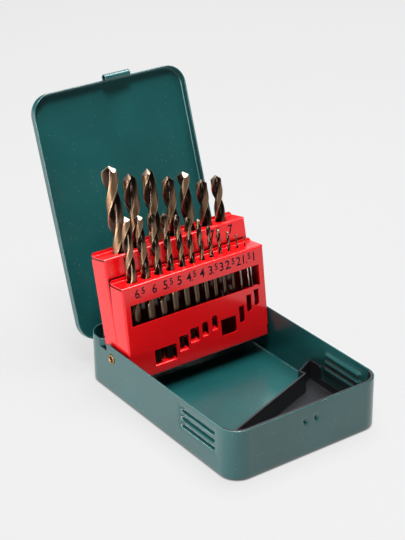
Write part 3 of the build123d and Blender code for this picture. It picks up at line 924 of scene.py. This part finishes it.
# %% [markdown]
# ## Twist drill bits
#
# A twist drill is one cross-section that turns as it climbs. Round half a turn the section
# is a land, with a narrow full-width margin at its leading edge, and then a flute that dips
# to the web. The flutes climb like a right-hand screw, one turn in about 5.8 diameters, and
# run out into the round shank. The point is a cone of 118 degrees that falls away behind
# each cutting lip, and where the cone meets the twisted section gives the lips their shape.

# %% Drill section
FLUTE_LEAD = 5.8  # diameters climbed in one turn
POINT_SLOPE = 1 / math.tan(math.radians(118 / 2))  # fall of the point per radius
LIP_ANGLE, LAND_SWEEP, MARGIN_SWEEP = 132.0, 66.0, 8.0
WEB, BODY_SHARE = 0.27, 0.95  # shares of the radius
WEB_AT = 0.66  # where across the flute the web is thinnest
LIP_RELIEF = 0.26  # extra fall behind a lip, per radius
RUN_OUT, SHANK_END = 0.9, 0.5  # diameters over which the flutes start and the shank's look ends
SHANK_FOOT = 0.93  # share of the radius at the shank's chamfered foot
FLUTE_DIP = 0.35  # a dip this deep has all of a flute's colour
BRIGHT_SWEEP = LAND_SWEEP + 15  # how far behind each lip a fresh point is bright
SECTION_STEPS, POINT_STEPS = 90, 9


def section(angle):
    """Share of the radius at an angle in degrees, and how far behind the lip the point is.

    With b the angle behind the lip: the margin (b up to 8) has share 1, the land up to 66
    has share 0.95, and the flute falls to the web and climbs steeply back to the lip.
    """
    behind = (LIP_ANGLE - angle) % 180
    land = 1 - (1 - BODY_SHARE) * smooth((behind - MARGIN_SWEEP) / 3)
    across = np.clip((behind - LAND_SWEEP) / (180 - LAND_SWEEP), 0, 1)
    heel_side = BODY_SHARE + (WEB - BODY_SHARE) * smooth(across / WEB_AT) ** 0.8
    lip_side = WEB + (1 - WEB) * np.clip((across - WEB_AT) / (1 - WEB_AT), 0, 1) ** 1.5
    share = np.where(behind < LAND_SWEEP, land, np.where(across < WEB_AT, heel_side, lip_side))
    fall = np.where(behind < LAND_SWEEP, behind / LAND_SWEEP, 1 - smooth(across))
    return share, fall


def drill_grid(diameter, length, flute, bright_steel, painted_shank_highlight):
    """Grid of a bit standing on its shank, with the attributes that its steel follows.

    At height z the section is turned back from the point by 360 (lip - z) / (5.8 d). Its
    share s of the radius fades in from 1 over the first 0.9 d of the flutes. The body ends
    where it meets the cone z = length - r (slope + relief * fall), and rings on the cone
    close it. `bright_steel` is how bright the point is: 1 just after grinding, less where it
    has darkened with heat. `painted_shank_highlight` paints a highlight along the shank the
    same way.
    """
    radius = diameter / 2
    low = length - flute
    angle = np.linspace(0, 360, SECTION_STEPS, endpoint=False)[None]
    share, fall = section(angle)
    behind = (LIP_ANGLE - angle) % 180
    slope = POINT_SLOPE + LIP_RELIEF * fall
    rows = int(40 * flute / (FLUTE_LEAD * diameter)) + 20
    plain = np.array([0, 0.02 * diameter, 0.05 * diameter + 0.1, 0.5 * low, low - 0.01])[:, None]
    climb = np.linspace(0, 1, rows)[:, None]
    top = length - share * radius * slope
    height = np.concatenate([np.broadcast_to(plain, (5, SECTION_STEPS)), low + (top - low) * climb])
    dip = (1 - share) * smooth((height - low) / (RUN_OUT * diameter))
    reach = 1 - dip
    reach[0] = SHANK_FOOT
    closing = np.linspace(1, 0.02, POINT_STEPS)[1:, None]
    reach = np.concatenate([reach, share * closing])
    height = np.concatenate([height, length - share * closing * radius * slope])
    lip = length - radius * POINT_SLOPE
    turn = 360 * (np.clip(height, low, None) - lip) / (FLUTE_LEAD * diameter)
    turn[-POINT_STEPS + 1:] = turn[-POINT_STEPS]
    direction = np.radians(angle + turn)
    grid = np.stack([reach * radius * np.cos(direction), reach * radius * np.sin(direction), height], -1)
    dip = np.concatenate([dip, np.zeros((POINT_STEPS - 1, SECTION_STEPS))])
    ground = np.zeros(reach.shape)
    ground[-POINT_STEPS + 1:] = 1
    margin = (behind < MARGIN_SWEEP) * (height > low) * (1 - ground)
    shank = 1 - smooth((height - low) / (SHANK_END * diameter))
    bright = ground * (behind < BRIGHT_SWEEP) * bright_steel + shank * painted_shank_highlight
    return grid, dict(zip(BIT_ATTRIBUTES, (smooth(dip / FLUTE_DIP), ground, margin, shank, bright)))


# %% Stand the bits in their racks
BITS = (
    # diameter, length of the flutes, direction of the lips, brightness of point, painted shank highlight
    (10.0, 87, 174, 1.0), (9.5, 81, 66, 0.1), (9.0, 81, 79, 0.25), (8.5, 75, 46, 0.1),
    (8.0, 75, 149, 1.0), (7.5, 69, 39, 0.1), (7.0, 69, 34, 0.1), (6.5, 63, 134, 0.9),
    (6.0, 57, 154, 1.0), (5.5, 57, 44, 0.1), (5.0, 52, 24, 0.1), (4.5, 47, 54, 0.1),
    (4.0, 43, 54, 0.1), (3.5, 39, 124, 0.1), (3.0, 33, 44, 0.1), (2.5, 30, 124, 0.1),
    # The two smallest bits carry a painted highlight along the shank.
    (2.0, 24, 134, 0.1), (1.5, 18, 154, 0.1, 0.3), (1.0, 12, 54, 0.8, 1.0),
)


def bit_lean(node):
    """How far a bit leans back, in degrees, from its slide, whose axis points down the bit."""
    axis = next(joint["axis"] for joint in frame["joints"] if joint["child"] == node)
    return math.degrees(math.atan2(-axis[1], -axis[2]))


def stand_bit(diameter, flute, turn, bright_steel, painted_shank_highlight=0.0):
    """Makes a bit where its CAD node stands: same axis, same seat, same length.

    `turn` is the direction of the cutting lips, in degrees anticlockwise from the right.
    """
    node = "bit_" + f"{diameter:.1f}".replace(".", "_")
    lean = bit_lean(node)
    upright = swung(mesh_points(frame["nodes"][node].data) / MM, PIVOT, -lean)
    low, high = upright.min(0), upright.max(0)
    grid, attributes = drill_grid(diameter, high[2] - low[2], flute, bright_steel, painted_shank_highlight)
    angle = math.radians(turn - LIP_ANGLE)
    cosine, sine = math.cos(angle), math.sin(angle)
    spin = np.array([[cosine, sine, 0], [-sine, cosine, 0], [0, 0, 1]])
    place = np.array([(low[0] + high[0]) / 2, (low[1] + high[1]) / 2, low[2]])
    grid = swung(grid @ spin + place, PIVOT, lean)
    made = surface(node + "_ground", grid, bit_steel, node, [node], attributes)
    return len(made.data.polygons)


faces = sum(stand_bit(*bit) for bit in BITS)
print(len(BITS), "bits:", faces, "faces")

# %% [markdown]
# ## Rivets, washers and hinge pins
#
# A tubular rivet is a turned outline: its head is rolled over outside the wall and its
# flare holds the rack inside. Turning the outline round the pivot gives a smooth ring.

# %% Turned rivets
RIVET_BORE, RIVET_BODY = 1.7, 2.0
WALL, FLARE = WIDTH / 2, RACK_HALF - SHEET - 0.15  # where the head and the flare bear
RIVET_OUTLINE = np.array([
    # (distance out, radius): round the flare, along the body, over the head, back in the bore
    (FLARE - 0.38, RIVET_BORE + 0.05), (FLARE - 0.38, 2.55), (FLARE - 0.15, 2.85), (FLARE, 2.8),
    (FLARE, RIVET_BODY), (WALL, RIVET_BODY), (WALL, 3.2), (WALL + 0.28, 3.25), (WALL + 0.52, 3.05),
    (WALL + 0.68, 2.7), (WALL + 0.7, 2.4), (WALL + 0.6, 2.1), (WALL + 0.35, 1.85), (WALL, RIVET_BORE),
    (FLARE, RIVET_BORE),
])
TURN_STEPS = 48


def rivet(side):
    """The rivet's outline turned round the pivot axis: y = r cos a, z = r sin a from the pivot."""
    out, radius = RIVET_OUTLINE.T
    angle = np.linspace(0, 2 * math.pi, TURN_STEPS, endpoint=False)[:, None]
    out = np.broadcast_to(side * out, (TURN_STEPS, len(RIVET_OUTLINE)))
    grid = np.stack([out, PIVOT_Y + radius * np.cos(angle), PIVOT_Z + radius * np.sin(angle)], -1)
    return grid if side > 0 else grid[::-1]


def ring_mesh(name, grid):
    """A closed tube mesh: rows and columns of the grid both wrap round."""
    rows, columns, _ = grid.shape
    row, column = np.meshgrid(np.arange(rows), np.arange(columns), indexing="ij")
    row, below = row * columns, (row + 1) % rows * columns
    right = (column + 1) % columns
    quads = np.stack([row + column, row + right, below + right, below + column], -1)
    mesh = bpy.data.meshes.new(name)
    mesh.from_pydata(grid.reshape(-1, 3) * MM, [], quads.reshape(-1, 4).tolist())
    return mesh


for side, word in ((-1, "left"), (1, "right")):
    mesh = ring_mesh(word + "_rivet", rivet(side))
    place_piece(word + "_rivet", mesh, brass, "base", [word + "_eyelet"])
    for node in (word + "_washer", word + "_hinge_pin"):
        plain = frame["nodes"][node]
        plain.data.materials.clear()
        plain.data.materials.append(plated_steel)
print("rivets, washers and pins done")

# %% [markdown]
# ## Printed sizes
#
# The diameters are pad printed in dark ink. The figure after the point is smaller and
# raised, as on many drill cases. Text starts as a curve, becomes a thin solid, and is then
# laid on the rack's face, a few hundredths of a millimetre proud.

# %% Lay text on the racks
INK = 0.05  # thickness of the film
FIGURE, RAISED, POINT = 5.7, 4.2, 0.95  # heights of a figure, a raised figure and the point
NARROWING = 0.92  # figures are a little narrower than the font's
POINT_ACROSS, POINT_FOOT = 2.3, 0.45  # the point's middle, from the figure's middle and foot
RAISED_ACROSS, RAISED_UP = 4.4, 1.1  # the raised figure's middle, from the figure's middle
FRONT_LABELS = (
    # figure, raised figure, place across the rack
    ("6", "5", -42.7), ("6", "", -30.1), ("5", "5", -22.2), ("5", "", -11.8),
    ("4", "5", -4.8), ("4", "", 5.2), ("3", "5", 11.5), ("3", "", 19.9),
    ("2", "5", 24.5), ("2", "", 33.0), ("1", "5", 36.9), ("1", "", 44.9),
)
REAR_LABELS = (
    ("10", "", -36.2), ("9", "5", -23.6), ("9", "", -8.6), ("8", "5", 2.2),
    ("8", "", 16.6), ("7", "5", 26.9), ("7", "", 40.9),
)


def text_points(text, height):
    """Points and faces of a text that lies flat: its middle at 0, that height, INK thick."""
    curve = bpy.data.curves.new("figures", "FONT")
    curve.body = text
    curve.extrude = 0.05  # any thickness, which INK replaces below
    curve.offset = 0.01  # strokes a little bolder than the font's
    curve.resolution_u = 4
    scratch = add_object("figures", curve)
    mesh = worked_out(scratch)
    points = np.array([v.co for v in mesh.vertices])
    polygons = [list(p.vertices) for p in mesh.polygons]
    bpy.data.objects.remove(scratch)
    bpy.data.curves.remove(curve)
    bpy.data.meshes.remove(mesh)
    low, high = points.min(0), points.max(0)
    points = (points - (low + high) / 2) * height / (high[1] - low[1])
    points[:, 2] = np.sign(points[:, 2]) * INK / 2
    return points, polygons


def laid(text, height, x, up, face):
    """Text standing on a rack's front face: x across, up along the rack, thickness forward."""
    points, polygons = text_points(text, height)
    across = points[:, 0] * NARROWING + x
    placed = np.stack([across, face - INK / 2 - points[:, 2], points[:, 1] + up], 1)
    return placed + (0, PIVOT_Y, PIVOT_Z), polygons


def print_labels(name, labels, up, face, lean):
    """One printed line of sizes, each with its raised figure and its point."""
    solids = []
    for figure, raised, x in labels:
        solids.append(laid(figure, FIGURE, x, up, face))
        if raised:
            solids.append(laid(".", POINT, x + POINT_ACROSS, up - FIGURE / 2 + POINT_FOOT, face))
            solids.append(laid(raised, RAISED, x + RAISED_ACROSS, up + RAISED_UP, face))
    solids = [(swung(points, PIVOT, lean), polygons) for points, polygons in solids]
    place_piece(name, joined(solids), number_ink, "racks")


print_labels("front_sizes", FRONT_LABELS, 44.55, RACK_FACE, FRONT_LEAN)
print_labels("rear_sizes", REAR_LABELS, 59.4, REAR_FACE, REAR_LEAN)
print("printed:", len(FRONT_LABELS) + len(REAR_LABELS), "sizes")

# %% [markdown]
# ## The table
#
# The table is a plain pale sheet that reaches far beyond the case on every side. It glows
# a little by itself, as a lit studio table does, so it stays even and the shadows are soft.
# Right beside the case an occlusion node dims the glow: a painted contact shadow.

# %% Table
TABLE_REACH, TABLE_DROP = 15.0, 0.0002  # metres; it lies just under the case
MOTTLE_SPACING = 300
PAINTED_SHADOW_REACH = 1.2


def pale_table():
    """A pale matt sheet with a faint mottling, and a glow dimmed beside what stands on it into a painted
    contact shadow.
    """
    finish, tree = new_finish("pale studio table")
    place = add_node(tree, "ShaderNodeTexCoord").outputs["Object"]
    mottle = add_node(tree, "ShaderNodeTexNoise", {"Vector": place, "Scale": per_metre(MOTTLE_SPACING)})
    colour = add_node(
        tree, "ShaderNodeMix",
        {0: mottle.outputs[0], 6: linear("#4E4E4E"), 7: linear("#505050")}, data_type="RGBA",
    )
    # Painted contact shadow: the occlusion node darkens the glow close to the case.
    near = add_node(tree, "ShaderNodeAmbientOcclusion", {"Distance": PAINTED_SHADOW_REACH * MM})
    shader = add_node(
        tree, "ShaderNodeBsdfPrincipled",
        {
            "Base Color": colour.outputs[2], "Roughness": 0.9, "Specular IOR Level": 0.0,
            "Emission Color": near.outputs["Color"], "Emission Strength": 0.7,
        },
    )
    add_node(tree, "ShaderNodeOutputMaterial", {"Surface": shader.outputs[0]})
    return finish


table_mesh = bpy.data.meshes.new("table")
signs = ((-1, -1), (1, -1), (1, 1), (-1, 1))
corners = [(x * TABLE_REACH, y * TABLE_REACH, -TABLE_DROP) for x, y in signs]
table_mesh.from_pydata(corners, [], [(0, 1, 2, 3)])
table_mesh.materials.append(pale_table())
table = add_object("table", table_mesh)
